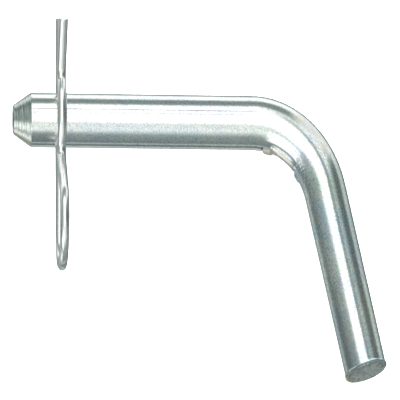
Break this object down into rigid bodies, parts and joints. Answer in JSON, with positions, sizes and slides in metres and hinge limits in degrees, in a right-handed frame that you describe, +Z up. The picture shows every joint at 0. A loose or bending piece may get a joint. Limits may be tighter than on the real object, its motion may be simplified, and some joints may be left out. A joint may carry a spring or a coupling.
{
  "type": "hitch pin lock",
  "caption": "Bent round hitch pin with a tapered tip and a one-wire spring clip through its cross hole, for locking a tow bar in its receiver.",
  "frame": {"origin": "where the cross hole's axis meets the shank's axis", "axes": "-X along the shank and out past its tip, which is the way the sleeve leaves; the handle leg turns away towards -Y in the XY plane; +Z up, with the clip's bow over the shank on +Z"},
  "size_m": [0.1405, 0.1097, 0.0288],
  "materials": {
    "plated_bar": "bright clear zinc plate over drawn steel bar",
    "plated_spring_wire": "bright clear zinc plate over drawn spring wire"
  },
  "bodies": {
    "pin": {"bent_pin": "plated_bar"},
    "clip_leg": {"clip_straight_leg": "plated_spring_wire"},
    "clip_loop": {"clip_loop": "plated_spring_wire"},
    "clip_bow": {"clip_bowed_leg": "plated_spring_wire"}
  },
  "joints": [
    {"name": "clip_pull", "type": "slide", "parent": "pin", "child": "clip_leg", "axis": [0, -0.9877, -0.1564], "range_m": [0, 0.05], "deforming": ["clip_bowed_leg"]},
    {"name": "clip_swivel", "type": "hinge", "parent": "clip_leg", "child": "clip_loop", "pos_m": [0, 0, 0], "axis": [0, 0.9877, 0.1564], "range_deg": [-10, 10]},
    {"name": "clip_spring", "type": "hinge", "parent": "clip_loop", "child": "clip_bow", "pos_m": [0, -0.03477, 0.00663], "axis": [1, 0, 0], "range_deg": [0, 9], "stiffness_Nm_per_rad": 0.05, "deforming": ["clip_loop"]}
  ]
}
